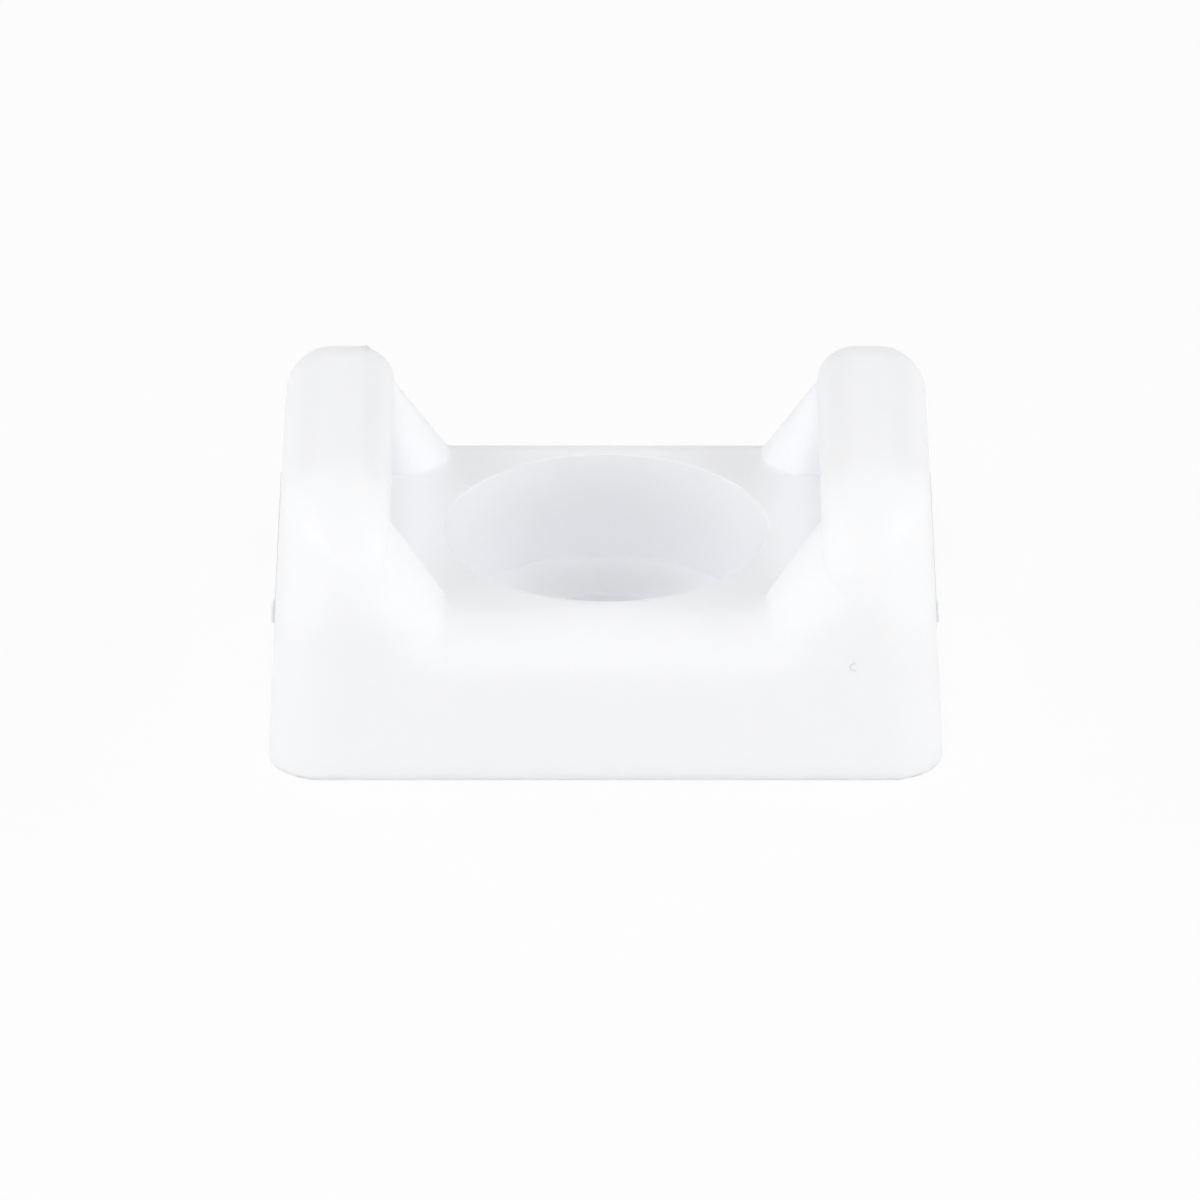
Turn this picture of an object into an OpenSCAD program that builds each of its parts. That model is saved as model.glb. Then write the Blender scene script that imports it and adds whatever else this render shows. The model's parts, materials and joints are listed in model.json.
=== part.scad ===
// Saddle-type cable tie mount, moulded in one piece.
// The foot stands on z = 0 and the screw hole runs up the z axis. The two ears
// stand at -x and +x, and a bundle lies in the cradle between them, along y.
// A tie runs along x: in under one bar, across the floor and out under the other.

/* [Foot] */
// Width of the foot, from one outer side to the other
foot_w = 22.2; // [21.6:0.1:24]
// Depth of the foot, along the bundle
foot_d = 14.9; // [14.6:0.1:17]
// Height of the cradle floor above the mounting surface
floor_h = 5.6; // [4.6:0.1:6]
// Draft of the two outer sides, in degrees
side_draft = 3; // [1:0.5:4]
// Radius of the four upright corners
corner_r = 1.8; // [1:0.1:2.2]
// Radius of the front and back edges of the floor and of the sloping gussets
lip_r = 1.8; // [1:0.1:1.9]

/* [Ears] */
// Overall height, at the top of the bars
total_h = 10; // [9.6:0.1:11]
// Radius of the ear tops, seen from the side
arch_r = 3.8; // [2.6:0.1:4]
// Radius of the outer shoulders, seen from the front
shoulder_r = 1.5; // [0.8:0.1:2]
// Width of the cradle at floor height
cradle_floor_w = 10.5; // [9.6:0.1:11.2]
// Width of the cradle at the top of the ears
cradle_top_w = 15.6; // [15:0.1:16.2]
// Clear gap between the two bars
bar_gap = 14.1; // [13.6:0.1:14.6]
// Radius of the inner top edge of each bar
bar_edge_r = 1.3; // [0.6:0.1:1.6]

/* [Tie slots] */
// Width of each tie slot
slot_w = 7.6; // [5:0.1:8.4]
// Height of each tie slot, from the floor to the bar
slot_h = 2.1; // [1.4:0.1:2.4]
// Radius of the upper corners of each slot
slot_r = 0.8; // [0.3:0.1:1.2]
// Radius of the gusset edges beside the slots
gusset_edge_r = 1.2; // [0.6:0.1:1.6]

/* [Screw seat] */
// Diameter of the screw hole
screw_hole_d = 5.2; // [4.2:0.1:5.6]
// Diameter of the recess for the screw head
head_recess_d = 10.7; // [9:0.1:10.8]
// Height of the face that the screw head bears on
seat_h = 1.8; // [1.4:0.1:3]

/* [Hidden] */
$fn = 96;

nylon = "#f2f2f4";
half_w = foot_w / 2;
half_d = foot_d / 2;
foot_x = cradle_floor_w / 2;
crest_x = cradle_top_w / 2;
bar_x = bar_gap / 2;
slot_y = slot_w / 2;
slot_top = floor_h + slot_h;
// Lean of the gusset edge away from upright
gusset_lean = atan2(crest_x - foot_x, total_h - floor_h);
// Length of the shapes that run past the part on both sides
reach = 30;
// Distance by which a cut or a filling shape runs past a face
past = 1;

// Plate from x = 0 to x = w, with its two corners at x = 0 rounded by r_low and r_high
module plate_outline(w, y_low, y_high, r_low, r_high) {
    translate([0, y_low + r_low]) square([w, y_high - y_low - r_low - r_high]);
    translate([r_low, y_low]) square([w - r_low, y_high - y_low - r_high]);
    translate([r_high, y_low + r_low]) square([w - r_high, y_high - y_low - r_low]);
    translate([r_low, y_low + r_low]) circle(r_low);
    translate([r_high, y_high - r_high]) circle(r_high);
}

// Side view of a block that stands on the foot, with round upper corners
module side_outline(d, h, r) {
    translate([-d / 2, 0]) square([d, h - r]);
    translate([r - d / 2, 0]) square([d - 2 * r, h]);
    translate([r - d / 2, h - r]) circle(r);
    translate([d / 2 - r, h - r]) circle(r);
}

// Runs a side view along x, past both sides of the foot if no length is given
module along_x(length = reach) {
    rotate([90, 0, 90]) translate([0, 0, -length / 2]) linear_extrude(length) children();
}

// Runs a front view along y, past the front and back of the foot
module along_y() {
    rotate([90, 0, 0]) translate([0, 0, -reach / 2]) linear_extrude(reach) children();
}

// One drafted side with its two upright corners; the other side is left long
module drafted_side() {
    translate([half_w, 0, 0]) rotate([0, -side_draft, 0]) mirror([1, 0, 0])
        translate([0, 0, -past]) linear_extrude(total_h + 3 * past)
            plate_outline(foot_w + past, -half_d, half_d, corner_r, corner_r);
}

module drafted_block() {
    intersection() {
        drafted_side();
        mirror([1, 0, 0]) drafted_side();
        translate([-half_w, -half_d, 0]) cube([foot_w, foot_d, total_h]);
    }
}

// Cradle floor, and the strip under the bars that the tie lies on
module floor_block() {
    along_x(cradle_top_w) side_outline(foot_d, floor_h, lip_r);
    along_x() translate([-slot_y - past, 0]) square([slot_w + 2 * past, floor_h]);
}

// Sloping gusset on one side of a slot, with both of its long edges rounded
module gusset() {
    translate([foot_x, 0, floor_h]) rotate([0, gusset_lean, 0]) translate([0, 0, -reach / 2])
        linear_extrude(reach)
            plate_outline(reach, slot_y, half_d, gusset_edge_r, lip_r);
}

// Bar with its two end posts, open below the bar
module bar_arch() {
    intersection() {
        along_y() {
            translate([bar_x, 0]) square([reach, total_h - bar_edge_r]);
            translate([bar_x + bar_edge_r, 0]) square([reach, total_h]);
            translate([bar_x + bar_edge_r, total_h - bar_edge_r]) circle(bar_edge_r);
        }
        along_x() difference() {
            side_outline(foot_d, total_h, arch_r);
            side_outline(slot_w, slot_top, slot_r);
        }
    }
}

// Front view of the corner that the round outer shoulder takes off the ear
module shoulder_cut() {
    side_x = half_w - (total_h - shoulder_r) * tan(side_draft);
    span = 2 * shoulder_r;
    translate([side_x - shoulder_r / cos(side_draft), total_h - shoulder_r]) difference() {
        polygon([[0, 0], [span * cos(side_draft), span * sin(side_draft)], [span, span], [0, span]]);
        circle(shoulder_r);
    }
}

module ear() {
    difference() {
        union() {
            bar_arch();
            intersection() {
                union() {
                    gusset();
                    mirror([0, 1, 0]) gusset();
                }
                along_x() side_outline(foot_d, total_h, arch_r);
            }
        }
        along_y() shoulder_cut();
    }
}

module screw_seat() {
    translate([0, 0, -past]) cylinder(h = seat_h + 2 * past, d = screw_hole_d);
    translate([0, 0, seat_h]) cylinder(h = floor_h, d = head_recess_d);
}

module mount_body() {
    color(nylon) difference() {
        intersection() {
            drafted_block();
            union() {
                floor_block();
                ear();
                mirror([1, 0, 0]) ear();
            }
        }
        screw_seat();
    }
}

mount_body();
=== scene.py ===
"""Cable tie mount: the looks of a nylon saddle moulding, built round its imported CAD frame.

The moulding is worked out as one distance field, so its edges roll into each other as they do
in a mould. A turned cutter then opens the screw seat, and thin flash lines are laid on top.
Lengths are in metres. +Z is up, X runs across the ears and Y along the cable bundle.
"""

import json
import logging
import math
from dataclasses import dataclass, replace
from enum import Enum
from typing import Callable

import bpy
import numpy as np
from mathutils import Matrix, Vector


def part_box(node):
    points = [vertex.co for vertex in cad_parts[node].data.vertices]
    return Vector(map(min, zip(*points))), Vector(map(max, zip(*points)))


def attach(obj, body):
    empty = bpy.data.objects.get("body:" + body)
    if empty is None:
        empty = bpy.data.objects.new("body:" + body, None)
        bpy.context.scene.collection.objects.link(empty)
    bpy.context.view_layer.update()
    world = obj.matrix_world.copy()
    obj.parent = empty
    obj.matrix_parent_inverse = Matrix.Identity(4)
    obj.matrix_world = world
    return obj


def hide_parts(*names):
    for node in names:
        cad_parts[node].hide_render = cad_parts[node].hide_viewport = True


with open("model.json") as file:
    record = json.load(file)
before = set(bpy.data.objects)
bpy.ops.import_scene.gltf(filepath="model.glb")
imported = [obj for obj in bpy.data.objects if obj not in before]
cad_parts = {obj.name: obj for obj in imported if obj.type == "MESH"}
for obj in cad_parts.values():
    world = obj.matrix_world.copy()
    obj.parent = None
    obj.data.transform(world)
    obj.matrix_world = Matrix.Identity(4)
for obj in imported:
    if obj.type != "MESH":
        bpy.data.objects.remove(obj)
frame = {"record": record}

LOG = logging.getLogger("cable_tie_mount")
MM = 0.001
NODE = "mount_body"
BODY = "root"

Field = Callable[[np.ndarray, np.ndarray, np.ndarray], np.ndarray]


class Side(Enum):
    """The two sides of the middle plane, by the sign of their X."""

    LEFT = -1
    RIGHT = 1


# ---------------------------------------------------------------------------------------------
# Small helpers
# ---------------------------------------------------------------------------------------------


def srgb(hex_colour: str) -> tuple[float, float, float, float]:
    """Turns an sRGB hex colour into linear RGBA.

    Args:
        hex_colour: Six hex digits after a hash, such as "#f2f2f4".

    Returns:
        Linear red, green and blue with alpha 1.
    """
    values = [int(hex_colour[i : i + 2], 16) / 255 for i in (1, 3, 5)]
    linear = [v / 12.92 if v <= 0.04045 else ((v + 0.055) / 1.055) ** 2.4 for v in values]
    return (linear[0], linear[1], linear[2], 1.0)


def add_node(
    tree: bpy.types.NodeTree, kind: str, settings: dict | None = None, links: dict | None = None
) -> bpy.types.Node:
    """Adds one node with its settings and links.

    Args:
        tree: The node tree that gets the node.
        kind: The node's Blender type name.
        settings: Values by property name, by input name with a leading dot, or by input number.
        links: The output sockets that feed its inputs, by input name or number.

    Returns:
        The new node.
    """
    node = tree.nodes.new(kind)
    for name, value in (settings or {}).items():
        if isinstance(name, int):
            node.inputs[name].default_value = value
        elif name.startswith("."):
            node.inputs[name[1:]].default_value = value
        else:
            setattr(node, name, value)
    for name, source in (links or {}).items():
        tree.links.new(source, node.inputs[name])
    return node


def mesh_object(name: str, mesh: bpy.types.Mesh) -> bpy.types.Object:
    """Puts a mesh into the scene as an object at the origin.

    Args:
        name: The piece's name.
        mesh: Its mesh, in the row frame.

    Returns:
        The linked object.
    """
    piece = bpy.data.objects.new(name, mesh)
    bpy.context.scene.collection.objects.link(piece)
    return piece


def apply_modifiers(piece: bpy.types.Object) -> None:
    """Bakes a piece's modifiers into its mesh and removes them.

    Args:
        piece: The object whose modifier stack is applied.
    """
    graph = bpy.context.evaluated_depsgraph_get()
    result = bpy.data.meshes.new_from_object(piece.evaluated_get(graph), depsgraph=graph)
    piece.modifiers.clear()
    piece.data = result


def round_cut(a: np.ndarray, b: np.ndarray, radius: np.ndarray | float) -> np.ndarray:
    """Keeps what is inside both fields, with a round edge where they meet.

    Args:
        a: Distance to the first shape, negative inside.
        b: Distance to the second shape, negative inside.
        radius: Radius of the edge, one number or one for each point.

    Returns:
        Distance to the shared shape.
    """
    over_a = np.maximum(a + radius, 0)
    over_b = np.maximum(b + radius, 0)
    return np.minimum(-radius, np.maximum(a, b)) + np.hypot(over_a, over_b)


# ---------------------------------------------------------------------------------------------
# The moulding
# ---------------------------------------------------------------------------------------------


@dataclass(frozen=True)
class SurfaceNet:
    """Turns a distance field into a closed mesh of even quads."""

    low: Vector
    high: Vector
    step: float
    margin_steps: int = 2
    settle_rounds: int = 4
    nudge_share: float = 0.01
    least_slope: float = 0.25

    def _axes(self) -> list[np.ndarray]:
        """Returns the grid's places along X, Y and Z, centred on the box."""
        places = []
        for low, high in zip(self.low, self.high):
            count = int(math.ceil((high - low) / self.step)) + 2 * self.margin_steps
            middle = (low + high) / 2
            places.append(middle + (np.arange(count + 1) - count / 2) * self.step)
        return places

    def settle(self, points: np.ndarray, field: Field) -> np.ndarray:
        """Moves points along the field's slope until they lie on its surface.

        Args:
            points: Rows of X, Y and Z.
            field: The distance field.

        Returns:
            The moved points.
        """
        nudge = self.step * self.nudge_share
        moved = points.copy()
        for _ in range(self.settle_rounds):
            distance = field(*moved.T)
            slope = np.empty_like(moved)
            for axis in range(3):
                shift = np.zeros(3)
                shift[axis] = nudge
                ahead = field(*(moved + shift).T)
                behind = field(*(moved - shift).T)
                slope[:, axis] = (ahead - behind) / (2 * nudge)
            length = np.maximum((slope**2).sum(axis=1), self.least_slope)
            pull = np.clip(distance / length, -self.step, self.step)
            moved -= slope * pull[:, None]
        return moved

    def mesh(self, name: str, field: Field) -> bpy.types.Mesh:
        """Meshes the field's surface.

        Args:
            name: The mesh's name.
            field: The distance field.

        Returns:
            A closed quad mesh with its faces pointing outwards.
        """
        axes = self._axes()
        values = field(*np.meshgrid(*axes, indexing="ij"))
        inside = values < 0
        cells = tuple(n - 1 for n in values.shape)
        total = np.zeros(cells + (3,))
        count = np.zeros(cells)
        corners = []
        for axis in range(3):
            low = [slice(None)] * 3
            high = [slice(None)] * 3
            low[axis] = slice(None, -1)
            high[axis] = slice(1, None)
            crossing = np.argwhere(inside[tuple(low)] != inside[tuple(high)])
            at = tuple(crossing.T)
            start = values[tuple(low)][at]
            end = values[tuple(high)][at]
            place = np.stack([axes[i][crossing[:, i]] for i in range(3)], axis=1)
            place[:, axis] += self.step * start / (start - end)
            across = (axis + 1) % 3
            up = (axis + 2) % 3
            ring = []
            for shift_across, shift_up in ((0, 0), (-1, 0), (-1, -1), (0, -1)):
                cell = crossing.copy()
                cell[:, across] += shift_across
                cell[:, up] += shift_up
                np.add.at(total, tuple(cell.T), place)
                np.add.at(count, tuple(cell.T), 1)
                ring.append(np.ravel_multi_index(tuple(cell.T), cells))
            quads = np.stack(ring, axis=1)
            quads[start > 0] = quads[start > 0][:, ::-1]
            corners.append(quads)
        used = np.flatnonzero(count.ravel())
        points = total.reshape(-1, 3)[used] / count.ravel()[used, None]
        lookup = np.full(count.size, -1)
        lookup[used] = np.arange(used.size)
        faces = lookup[np.concatenate(corners)]
        mesh = bpy.data.meshes.new(name)
        mesh.from_pydata(self.settle(points, field).tolist(), [], faces.tolist())
        mesh.shade_smooth()
        return mesh


@dataclass(frozen=True)
class Saddle:
    """The nylon moulding: a block foot, two arched ears with their bars, and a screw seat.

    The overall sizes and the screw seat come from the frame. The rest are the radii and places
    of the moulding itself, which repeat the named sizes of the part's source.
    """

    half_width: float
    half_depth: float
    height: float
    hole_radius: float
    recess_radius: float
    seat_height: float
    floor_height: float
    draft: float = math.radians(3.07)
    foot_edge: float = 0.2 * MM
    lip_radius: float = 1.83 * MM
    crest_radius: float = 3.85 * MM
    shoulder_radius: float = 1.47 * MM
    cradle_foot_x: float = 5.25 * MM
    cradle_top_x: float = 7.8 * MM
    bar_x: float = 7.05 * MM
    bar_edge: float = 1.3 * MM
    slot_half: float = 3.8 * MM
    slot_height: float = 2.1 * MM
    slot_radius: float = 0.8 * MM
    slot_mouth: float = 0.3 * MM
    gusset_foot_edge: float = 1.3 * MM
    gusset_top_edge: float = 2.2 * MM
    rim_radius: float = 0.02 * MM
    seat_corner_radius: float = 0.12 * MM
    net_step: float = 0.15 * MM
    turned_steps: int = 192
    round_steps: int = 6
    cutter_reach: float = 1 * MM
    flat_hold: float = 0.06 * MM
    sharp_angle: float = math.radians(40)

    @classmethod
    def from_frame(cls) -> "Saddle":
        """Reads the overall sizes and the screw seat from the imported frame.

        Returns:
            The saddle with the frame's own sizes.
        """
        low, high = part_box(NODE)
        mounts = {mount["name"]: mount for mount in frame["record"]["mounts"]}
        hole = mounts["screw_hole"]["dims"]
        recess = mounts["head_recess"]["dims"]
        return cls(
            half_width=(high[0] - low[0]) / 2,
            half_depth=(high[1] - low[1]) / 2,
            height=high[2] - low[2],
            hole_radius=hole["r_mm"] * MM,
            recess_radius=recess["r_mm"] * MM,
            seat_height=hole["length_mm"] * MM,
            floor_height=(hole["length_mm"] + recess["length_mm"]) * MM,
        )

    def _cradle(self, x: np.ndarray, z: np.ndarray) -> np.ndarray:
        """Returns the distance to the cradle's open wedge, negative in the opening.

        Args:
            x: Distance from the middle plane.
            z: Height.
        """
        run = self.cradle_top_x - self.cradle_foot_x
        rise = self.height - self.floor_height
        slope = math.hypot(run, rise)
        from_x = x - self.cradle_foot_x
        from_z = z - self.floor_height
        wall = (from_x * rise - from_z * run) / slope
        floor = -from_z
        share = run / slope
        reach = 1 - share**2
        beyond_both = (wall - share * floor > 0) & (floor - share * wall > 0)
        corner = np.where(reach > 0, np.hypot(from_x, from_z), 0)
        return np.where(beyond_both, corner, np.maximum(wall, floor))

    def _growing(self, z: np.ndarray, at_floor: float, at_top: float) -> np.ndarray:
        """Returns an edge radius that grows from the cradle floor to the ear tops.

        Args:
            z: Height.
            at_floor: Radius at the cradle floor and below it.
            at_top: Radius at the ear tops.
        """
        share = np.clip((z - self.floor_height) / (self.height - self.floor_height), 0, 1)
        return at_floor + (at_top - at_floor) * share

    def distance(self, x: np.ndarray, y: np.ndarray, z: np.ndarray) -> np.ndarray:
        """Gives the distance to the moulding before its screw seat is opened.

        Args:
            x: Places along X.
            y: Places along Y.
            z: Places along Z.

        Returns:
            Distances in metres, negative inside the nylon.
        """
        x = np.abs(x)
        y = np.abs(y)
        side = (x - self.half_width + z * math.tan(self.draft)) * math.cos(self.draft)
        front = y - self.half_depth
        radius = self._growing(z, self.lip_radius, self.crest_radius)
        inner_radius = self._growing(z, self.gusset_foot_edge, self.gusset_top_edge)
        outline = round_cut(side, z - self.height, self.shoulder_radius)
        block = round_cut(outline, front, radius)
        saddle = round_cut(np.maximum(outline, -self._cradle(x, z)), front, radius)
        posts = round_cut(saddle, self.slot_half - y, inner_radius)
        slot_top = self.floor_height + self.slot_height
        tunnel = round_cut(y - self.slot_half, z - slot_top, self.slot_radius)
        bars = round_cut(block, self.bar_x - x, self.bar_edge)
        bars = round_cut(bars, -tunnel, self.slot_mouth)
        upright = round_cut(side, front, self.lip_radius)
        lip = round_cut(z - self.floor_height, front, self.lip_radius)
        strip = round_cut(side, z - self.floor_height, self.slot_mouth)
        foot = np.maximum(np.maximum(upright, lip), strip)
        solid = np.minimum(np.minimum(posts, bars), foot)
        return round_cut(solid, -z, self.foot_edge)

    def net(self) -> SurfaceNet:
        """Returns the net that covers the moulding's box."""
        low = Vector((-self.half_width, -self.half_depth, 0))
        high = Vector((self.half_width, self.half_depth, self.height))
        return SurfaceNet(low, high, self.net_step)

    def _seat_profile(self) -> list[tuple[float, float]]:
        """Lists the turned cutter's radius and height, from its lower to its upper end.

        Short straight runs beside each round keep the flat faces flat in the shading.

        Returns:
            Pairs of radius and height.
        """
        past = self.cutter_reach
        rim = self.rim_radius
        corner = self.seat_corner_radius
        hold = self.flat_hold
        hole = self.hole_radius
        seat = self.seat_height
        recess = self.recess_radius
        floor = self.floor_height
        turns = [math.radians(90 * i / self.round_steps) for i in range(self.round_steps + 1)]
        points = [(0.0, -past), (hole + rim, -past)]
        points += [(hole + rim * (1 - math.sin(a)), rim * (1 - math.cos(a))) for a in turns]
        points += [(hole, rim + hold), (hole, seat - rim - hold)]
        points += [
            (hole + rim * (1 - math.cos(a)), seat - rim * (1 - math.sin(a))) for a in turns
        ]
        points += [(hole + rim + hold, seat), (recess - corner - hold, seat)]
        points += [
            (recess - corner * (1 - math.sin(a)), seat + corner * (1 - math.cos(a)))
            for a in turns
        ]
        points += [(recess, seat + corner + hold), (recess, floor - rim - hold)]
        points += [
            (recess + rim * (1 - math.cos(a)), floor - rim * (1 - math.sin(a))) for a in turns
        ]
        points += [(recess + rim, floor + past), (0.0, floor + past)]
        return points

    def _seat_cutter(self) -> bpy.types.Object:
        """Turns the screw seat's profile into a closed cutter.

        Returns:
            The cutter as an object.
        """
        profile = self._seat_profile()
        ring = profile[1:-1]
        steps = self.turned_steps
        points = [(0.0, 0.0, profile[0][1]), (0.0, 0.0, profile[-1][1])]
        for radius, height in ring:
            for i in range(steps):
                turn = 2 * math.pi * i / steps
                points.append((radius * math.cos(turn), radius * math.sin(turn), height))
        faces = []
        last = 2 + (len(ring) - 1) * steps
        for i in range(steps):
            after = (i + 1) % steps
            faces.append((0, 2 + after, 2 + i))
            faces.append((1, last + i, last + after))
            for row in range(len(ring) - 1):
                base = 2 + row * steps
                faces.append((base + i, base + after, base + steps + after, base + steps + i))
        mesh = bpy.data.meshes.new("seat_cutter")
        mesh.from_pydata(points, [], faces)
        mesh.shade_smooth()
        return mesh_object("seat_cutter", mesh)

    def build(self) -> bpy.types.Object:
        """Makes the moulding with its screw seat opened.

        Returns:
            The finished piece.
        """
        piece = mesh_object("nylon_saddle", self.net().mesh("nylon_saddle", self.distance))
        cutter = self._seat_cutter()
        opening = piece.modifiers.new("screw seat", "BOOLEAN")
        opening.operation = "DIFFERENCE"
        opening.solver = "MANIFOLD"
        opening.object = cutter
        apply_modifiers(piece)
        bpy.data.objects.remove(cutter)
        piece.data.set_sharp_from_angle(angle=self.sharp_angle)
        return piece


# ---------------------------------------------------------------------------------------------
# What the mould leaves on it
# ---------------------------------------------------------------------------------------------


@dataclass(frozen=True)
class Thread:
    """One raised line: its points, and its radius at each of them."""

    points: np.ndarray
    radii: np.ndarray


@dataclass(frozen=True)
class MouldLines:
    """Thin raised lines where the mould's parts met, and the small marks beside them.

    One line runs up each outer side, from a thicker nub at the foot.
    """

    saddle: Saddle
    side_line_y: float = 3.8 * MM
    side_line_low: float = 0.15 * MM
    side_line_high: float = 5.75 * MM
    side_line: float = 0.035 * MM
    left_nub: float = 0.13 * MM
    right_nub: float = 0.08 * MM
    nub_top: float = 1.0 * MM
    nub_fade: float = 0.12 * MM
    lip_inner_x: float = 7.75 * MM
    lip_outer_x: float = 8.15 * MM
    lip_y: float = 5.35 * MM
    lip_z: float = 9.6 * MM
    lip_thickness: float = 0.09 * MM
    lip_least_share: float = 0.25
    lip_steps: int = 9
    tool_mark_x: float = 8.12 * MM
    tool_mark_z: float = 4.25 * MM
    tool_mark_radius: float = 0.14 * MM
    tool_mark_turn: tuple[float, float] = (70, 290)
    tool_mark_line: float = 0.01 * MM
    tool_mark_steps: int = 15
    speck_x: float = 1.85 * MM
    speck_z: float = 1.58 * MM
    steps: int = 48
    thread_sides: int = 10
    radius_name: str = "thread_radius"

    def _up_side(self, side: Side, nub: float) -> Thread:
        """Lays a line up one outer side, with a nub at its foot.

        Args:
            side: The outer side that gets the line.
            nub: Radius of the nub.

        Returns:
            The line.
        """
        saddle = self.saddle
        z = np.linspace(self.side_line_low, self.side_line_high, self.steps)
        x = side.value * (saddle.half_width - z * math.tan(saddle.draft))
        points = np.stack([x, np.full(self.steps, self.side_line_y), z], axis=1)
        swell = np.clip((self.nub_top - z) / self.nub_fade, 0, 1)
        return Thread(points, self.side_line + (nub - self.side_line) * swell)

    def _ear_lip(self) -> Thread:
        """Lays the small lip at the back of the left ear, at its inner edge."""
        steps = self.lip_steps
        share = np.linspace(0, 1, steps)
        x = Side.LEFT.value * (self.lip_inner_x + (self.lip_outer_x - self.lip_inner_x) * share)
        points = np.stack([x, np.full(steps, self.lip_y), np.full(steps, self.lip_z)], axis=1)
        radii = self.lip_thickness * np.maximum(np.sin(share * math.pi), self.lip_least_share)
        return Thread(self.saddle.net().settle(points, self.saddle.distance), radii)

    def _tool_mark(self) -> Thread:
        """Lays a small curved tool mark on the front face, under the right ear."""
        steps = self.tool_mark_steps
        turn = np.radians(np.linspace(*self.tool_mark_turn, steps))
        x = self.tool_mark_x + self.tool_mark_radius * np.cos(turn)
        z = self.tool_mark_z + self.tool_mark_radius * np.sin(turn)
        points = np.stack([x, np.full(steps, -self.saddle.half_depth), z], axis=1)
        return Thread(points, np.full(steps, self.tool_mark_line))

    def _speck(self) -> Thread:
        """Lays a speck on the front face, below the cradle."""
        points = np.array([[0, 0, 0], [0.03, 0, -0.02], [0.06, 0, -0.01]]) * MM
        points += np.array([self.speck_x, -self.saddle.half_depth, self.speck_z])
        return Thread(points, np.array([0.012, 0.02, 0.01]) * MM)

    def _threads(self) -> list[Thread]:
        """Returns every line and mark."""
        threads = [self._ear_lip(), self._tool_mark(), self._speck()]
        for side, nub in ((Side.LEFT, self.left_nub), (Side.RIGHT, self.right_nub)):
            threads.append(self._up_side(side, nub))
        return threads

    def _paths(self) -> bpy.types.Object:
        """Draws the lines as plain edges, with the radius kept at each point.

        Returns:
            The helper object that the node tree reads.
        """
        threads = self._threads()
        edges = []
        first = 0
        for thread in threads:
            last = first + len(thread.points) - 1
            edges += [(i, i + 1) for i in range(first, last)]
            first = last + 1
        mesh = bpy.data.meshes.new("mould_paths")
        mesh.from_pydata(np.concatenate([t.points for t in threads]).tolist(), edges, [])
        radii = mesh.attributes.new(self.radius_name, "FLOAT", "POINT")
        radii.data.foreach_set("value", np.concatenate([t.radii for t in threads]))
        return mesh_object("mould_paths", mesh)

    def _tree(self) -> bpy.types.NodeTree:
        """Builds the node tree that turns the paths into round threads on the moulding.

        Returns:
            The tree, with inputs for the moulding, the paths, the thread's sides and its finish.
        """
        tree = bpy.data.node_groups.new("mould_lines", "GeometryNodeTree")
        face = tree.interface
        face.new_socket("Moulding", in_out="INPUT", socket_type="NodeSocketGeometry")
        face.new_socket("Paths", in_out="INPUT", socket_type="NodeSocketObject")
        face.new_socket("Thread Sides", in_out="INPUT", socket_type="NodeSocketInt")
        face.new_socket("Finish", in_out="INPUT", socket_type="NodeSocketMaterial")
        face.new_socket("Moulding", in_out="OUTPUT", socket_type="NodeSocketGeometry")
        given = add_node(tree, "NodeGroupInput").outputs
        paths = add_node(tree, "GeometryNodeObjectInfo", links={"Object": given["Paths"]})
        curves = add_node(
            tree, "GeometryNodeMeshToCurve", links={"Mesh": paths.outputs["Geometry"]}
        )
        radius = add_node(
            tree,
            "GeometryNodeInputNamedAttribute",
            {"data_type": "FLOAT", ".Name": self.radius_name},
        )
        section = add_node(
            tree,
            "GeometryNodeCurvePrimitiveCircle",
            {".Radius": 1.0},
            {"Resolution": given["Thread Sides"]},
        )
        threads = add_node(
            tree,
            "GeometryNodeCurveToMesh",
            {".Fill Caps": True},
            {
                "Curve": curves.outputs["Curve"],
                "Profile Curve": section.outputs["Curve"],
                "Scale": radius.outputs["Attribute"],
            },
        )
        smooth = add_node(
            tree, "GeometryNodeSetShadeSmooth", links={"Geometry": threads.outputs["Mesh"]}
        )
        joined = add_node(
            tree, "GeometryNodeJoinGeometry", links={"Geometry": smooth.outputs["Geometry"]}
        )
        tree.links.new(given["Moulding"], joined.inputs["Geometry"])
        real = add_node(
            tree, "GeometryNodeRealizeInstances", links={"Geometry": joined.outputs["Geometry"]}
        )
        dressed = add_node(
            tree,
            "GeometryNodeSetMaterial",
            links={"Geometry": real.outputs["Geometry"], "Material": given["Finish"]},
        )
        add_node(tree, "NodeGroupOutput", links={"Moulding": dressed.outputs["Geometry"]})
        return tree

    def lay_on(self, piece: bpy.types.Object, finish: bpy.types.Material) -> None:
        """Joins the lines to the moulding and gives the whole its finish.

        Args:
            piece: The moulding.
            finish: The material of the moulding and its lines.
        """
        paths = self._paths()
        tree = self._tree()
        lines = piece.modifiers.new("mould lines", "NODES")
        lines.node_group = tree
        values = {"Paths": paths, "Thread Sides": self.thread_sides, "Finish": finish}
        for socket in tree.interface.items_tree:
            if socket.in_out == "INPUT" and socket.name in values:
                lines[socket.identifier] = values[socket.name]
        apply_modifiers(piece)
        bpy.data.objects.remove(paths)


# ---------------------------------------------------------------------------------------------
# Finishes
# ---------------------------------------------------------------------------------------------


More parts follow.
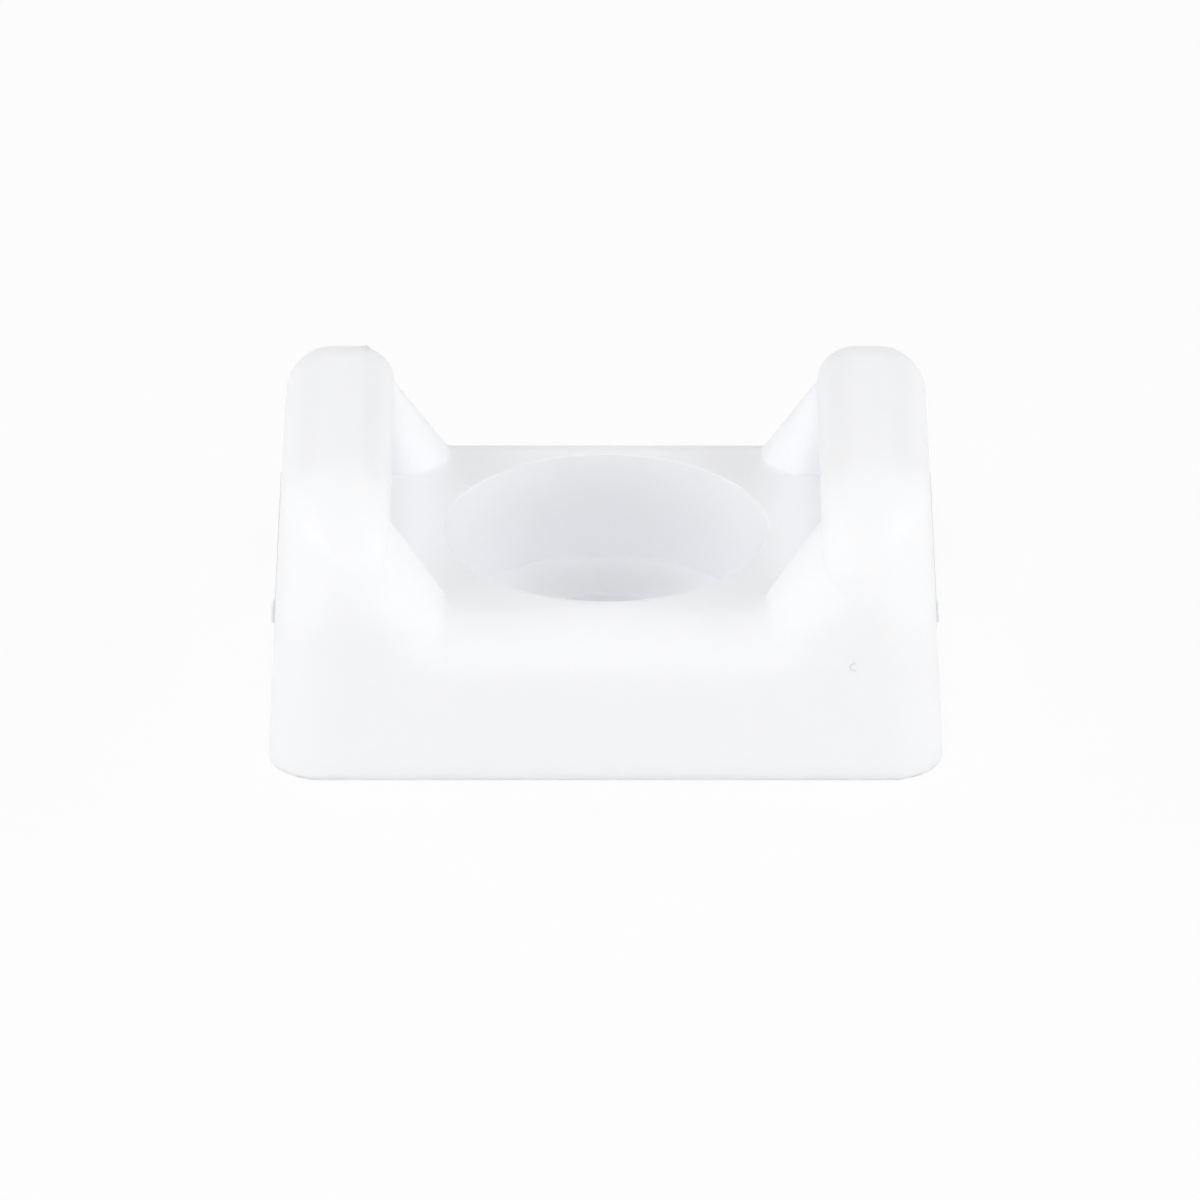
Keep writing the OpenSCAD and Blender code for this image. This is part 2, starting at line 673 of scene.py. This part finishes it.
@dataclass(frozen=True)
class NaturalNylon:
    """Unfilled natural polyamide, injection moulded in a fine spark-eroded mould.

    It looks milky white and a little cool. Light goes in under a millimetre and softens every
    shadow, faint clouds follow the flow of the melt, and the skin has a low satin gloss.
    """

    clear_colour: str = "#fbfcff"
    clouded_colour: str = "#fafbfe"
    cloud_size: float = 3.5 * MM
    grain_size: float = 0.11 * MM
    grain_depth: float = 0.0012 * MM
    satin_low: float = 0.56
    satin_high: float = 0.66
    specular: float = 0.15
    depth_share: float = 0.5
    depth: float = 0.7 * MM
    insert_lines: tuple[float, ...] = (-3.65 * MM, 2.6 * MM)
    insert_line_width: float = 0.05 * MM
    insert_line_depth: float = 0.014 * MM
    bar_underside: float = 7.75 * MM

    def _insert_lines(
        self, tree: bpy.types.NodeTree, place: bpy.types.NodeSocket, breaks: bpy.types.NodeSocket
    ) -> bpy.types.NodeSocket:
        """Draws the fine lines that the mould's inserts leave across the bars.

        Args:
            tree: The material's tree.
            place: Object coordinates.
            breaks: Noise that breaks the lines up.

        Returns:
            The lines' height, from 0 to 1.
        """
        axes = add_node(tree, "ShaderNodeSeparateXYZ", links={"Vector": place}).outputs
        on_bar = add_node(
            tree,
            "ShaderNodeMath",
            {"operation": "GREATER_THAN", 1: self.bar_underside},
            {0: axes["Z"]},
        )
        lines = []
        for y in self.insert_lines:
            line = add_node(
                tree,
                "ShaderNodeMath",
                {"operation": "COMPARE", 1: y, 2: self.insert_line_width},
                {0: axes["Y"]},
            )
            lines.append(line.outputs[0])
        both = add_node(
            tree, "ShaderNodeMath", {"operation": "MAXIMUM"}, {0: lines[0], 1: lines[1]}
        )
        kept = add_node(
            tree,
            "ShaderNodeMath",
            {"operation": "MULTIPLY"},
            {0: both.outputs[0], 1: on_bar.outputs[0]},
        )
        broken = add_node(
            tree, "ShaderNodeMath", {"operation": "MULTIPLY"}, {0: kept.outputs[0], 1: breaks}
        )
        return broken.outputs[0]

    def material(self) -> bpy.types.Material:
        """Builds the shader.

        Returns:
            The material, named for its plastic.
        """
        material = bpy.data.materials.new("moulded_natural_nylon")
        material.use_nodes = True
        tree = material.node_tree
        tree.nodes.clear()
        place = add_node(tree, "ShaderNodeTexCoord")
        clouds = add_node(
            tree,
            "ShaderNodeTexNoise",
            {".Scale": 1 / self.cloud_size, ".Detail": 3.0, ".Distortion": 0.6},
            {"Vector": place.outputs["Object"]},
        )
        grain = add_node(
            tree,
            "ShaderNodeTexNoise",
            {".Scale": 1 / self.grain_size, ".Detail": 2.0, ".Roughness": 0.6},
            {"Vector": place.outputs["Object"]},
        )
        share = add_node(
            tree,
            "ShaderNodeMapRange",
            {".From Min": 0.3, ".From Max": 0.7},
            {"Value": clouds.outputs["Fac"]},
        )
        colour = add_node(
            tree,
            "ShaderNodeMixRGB",
            {".Color1": srgb(self.clear_colour), ".Color2": srgb(self.clouded_colour)},
            {"Fac": share.outputs["Result"]},
        )
        satin = add_node(
            tree,
            "ShaderNodeMapRange",
            {".To Min": self.satin_low, ".To Max": self.satin_high},
            {"Value": grain.outputs["Fac"]},
        )
        skin = add_node(
            tree,
            "ShaderNodeBump",
            {".Distance": self.grain_depth, ".Strength": 1.0},
            {"Height": grain.outputs["Fac"]},
        )
        lines = self._insert_lines(tree, place.outputs["Object"], share.outputs["Result"])
        lined = add_node(
            tree,
            "ShaderNodeBump",
            {".Distance": self.insert_line_depth, ".Strength": 1.0},
            {
                "Height": lines,
                "Normal": skin.outputs["Normal"],
            },
        )
        shader = add_node(
            tree,
            "ShaderNodeBsdfPrincipled",
            {
                ".Specular IOR Level": self.specular,
                ".Subsurface Weight": self.depth_share,
                ".Subsurface Scale": self.depth,
                ".Subsurface Radius": (1.0, 0.95, 0.9),
            },
            {
                "Base Color": colour.outputs[0],
                "Roughness": satin.outputs["Result"],
                "Normal": lined.outputs["Normal"],
            },
        )
        add_node(tree, "ShaderNodeOutputMaterial", links={"Surface": shader.outputs["BSDF"]})
        return material


def seen_rays(tree: bpy.types.NodeTree) -> bpy.types.NodeSocket:
    """Tells the rays that show a surface from those that light it.

    Args:
        tree: The tree of the world or of a material.

    Returns:
        1 for camera, glossy and transmission rays, and 0 for the others.
    """
    path = add_node(tree, "ShaderNodeLightPath").outputs
    seen = path["Is Camera Ray"]
    for kind in ("Is Glossy Ray", "Is Transmission Ray"):
        seen = add_node(
            tree, "ShaderNodeMath", {"operation": "MAXIMUM"}, {0: seen, 1: path[kind]}
        ).outputs[0]
    return seen


@dataclass(frozen=True)
class StudioPaper:
    """Matt backdrop paper. It looks plain white and keeps a faint shadow under the object."""

    colour: str = "#f0f0f0"
    white_share: float = 0.9

    def material(self) -> bpy.types.Material:
        """Builds the shader.

        Returns:
            The paper's material.
        """
        material = bpy.data.materials.new("matt_backdrop_paper")
        material.use_nodes = True
        tree = material.node_tree
        tree.nodes.clear()
        paper = add_node(tree, "ShaderNodeBsdfDiffuse", {".Color": srgb(self.colour)})
        white = add_node(tree, "ShaderNodeEmission", {".Strength": 1.0})
        share = add_node(
            tree,
            "ShaderNodeMath",
            {"operation": "MULTIPLY", 1: self.white_share},
            {0: seen_rays(tree)},
        )
        mix = add_node(
            tree,
            "ShaderNodeMixShader",
            links={0: share.outputs[0], 1: paper.outputs[0], 2: white.outputs[0]},
        )
        add_node(tree, "ShaderNodeOutputMaterial", links={"Surface": mix.outputs[0]})
        return material


# ---------------------------------------------------------------------------------------------
# The studio
# ---------------------------------------------------------------------------------------------


@dataclass(frozen=True)
class SoftBox:
    """One square lamp that looks at the object's middle."""

    name: str
    azimuth: float
    elevation: float
    power: float
    distance: float = 0.25
    size: float = 0.12

    def build(self, target: Vector) -> bpy.types.Object:
        """Hangs the lamp.

        Args:
            target: The point that the lamp looks at.

        Returns:
            The lamp object.
        """
        lamp = bpy.data.lights.new(self.name, "AREA")
        lamp.shape = "SQUARE"
        lamp.size = self.size
        lamp.energy = self.power
        holder = bpy.data.objects.new(self.name, lamp)
        turn = math.radians(self.azimuth)
        lift = math.radians(self.elevation)
        away = Vector(
            (math.sin(turn) * math.cos(lift), -math.cos(turn) * math.cos(lift), math.sin(lift))
        )
        holder.location = target + away * self.distance
        holder.rotation_euler = (-away).to_track_quat("-Z", "Y").to_euler()
        bpy.context.scene.collection.objects.link(holder)
        return holder


@dataclass(frozen=True)
class Studio:
    """White sweep, soft lamps and a long lens in front of the object.

    Each paired lamp hangs on both sides with the same power. The foot's front edge lies
    foot_drop of the frame's width below its middle.
    """

    single_lamps: tuple[SoftBox, ...] = (
        SoftBox("key", 0, 55, 0.22),
        SoftBox("back", 180, 30, 0.05),
        SoftBox("back_high", 180, 55, 0.05),
    )
    paired_lamps: tuple[SoftBox, ...] = (
        SoftBox("front", 50, 30, 0.12),
        SoftBox("front_low", 30, 7, 0.07),
        SoftBox("side", 90, 30, 0.09),
        SoftBox("side_low", 90, 7, 0.06),
        SoftBox("rear", 120, 30, 0.12),
    )
    paper: StudioPaper = StudioPaper()
    floor_half: float = 0.6
    lens: float = 411.9
    sensor: float = 36.0
    elevation: float = 27.17
    camera_distance: float = 0.45
    shift_x: float = -0.00475
    foot_drop: float = 0.152
    clip_start: float = 0.01

    def _floor(self) -> bpy.types.Object:
        """Lays the paper under the object.

        Returns:
            The floor object.
        """
        half = self.floor_half
        mesh = bpy.data.meshes.new("paper_sweep")
        mesh.from_pydata(
            [(-half, -half, 0), (half, -half, 0), (half, half, 0), (-half, half, 0)],
            [],
            [(0, 1, 2, 3)],
        )
        mesh.materials.append(self.paper.material())
        floor = mesh_object("paper_sweep", mesh)
        return floor

    def _world(self) -> None:
        """Sets a plain white surround, which the camera sees as white."""
        world = bpy.data.worlds.new("white_room")
        world.use_nodes = True
        tree = world.node_tree
        tree.nodes.clear()
        glow = add_node(
            tree,
            "ShaderNodeBackground",
            {".Color": (1, 1, 1, 1)},
            {"Strength": seen_rays(tree)},
        )
        add_node(tree, "ShaderNodeOutputWorld", links={"Surface": glow.outputs[0]})
        bpy.context.scene.world = world

    def _camera(self, front: Vector) -> None:
        """Sets up the camera.

        Args:
            front: Middle of the foot's front edge, at which the lens is centred.
        """
        lens = bpy.data.cameras.new("camera")
        lens.lens = self.lens
        lens.sensor_width = self.sensor
        lens.sensor_fit = "HORIZONTAL"
        lens.clip_start = self.clip_start
        lens.shift_x = self.shift_x
        camera = bpy.data.objects.new("camera", lens)
        lift = math.radians(self.elevation)
        ahead = Vector((0, math.cos(lift), -math.sin(lift)))
        above = Vector((0, math.sin(lift), math.cos(lift)))
        rise = self.foot_drop * self.sensor / self.lens * self.camera_distance
        camera.location = front - ahead * self.camera_distance + above * rise
        camera.rotation_euler = ahead.to_track_quat("-Z", "Y").to_euler()
        bpy.context.scene.collection.objects.link(camera)
        bpy.context.scene.camera = camera

    def build(self, saddle: Saddle) -> None:
        """Sets the whole studio round the object.

        Args:
            saddle: The moulding, for its sizes.
        """
        self._floor()
        self._world()
        middle = Vector((0, 0, saddle.height / 2))
        for lamp in self.single_lamps:
            lamp.build(middle)
        for lamp in self.paired_lamps:
            for side in Side:
                name = f"{lamp.name}_{side.name.lower()}"
                replace(lamp, name=name, azimuth=side.value * lamp.azimuth).build(middle)
        self._camera(Vector((0, -saddle.half_depth, 0)))
        bpy.context.scene.view_settings.view_transform = "Standard"


def main() -> None:
    """Builds the mount and its studio, and hides the imported CAD part that it stands in for."""
    logging.basicConfig(level=logging.INFO, format="%(message)s")
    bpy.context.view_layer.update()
    saddle = Saddle.from_frame()
    piece = saddle.build()
    MouldLines(saddle).lay_on(piece, NaturalNylon().material())
    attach(piece, BODY)
    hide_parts(NODE)
    LOG.info("%s: %d faces", piece.name, len(piece.data.polygons))
    Studio().build(saddle)


if __name__ == "__main__":
    main()
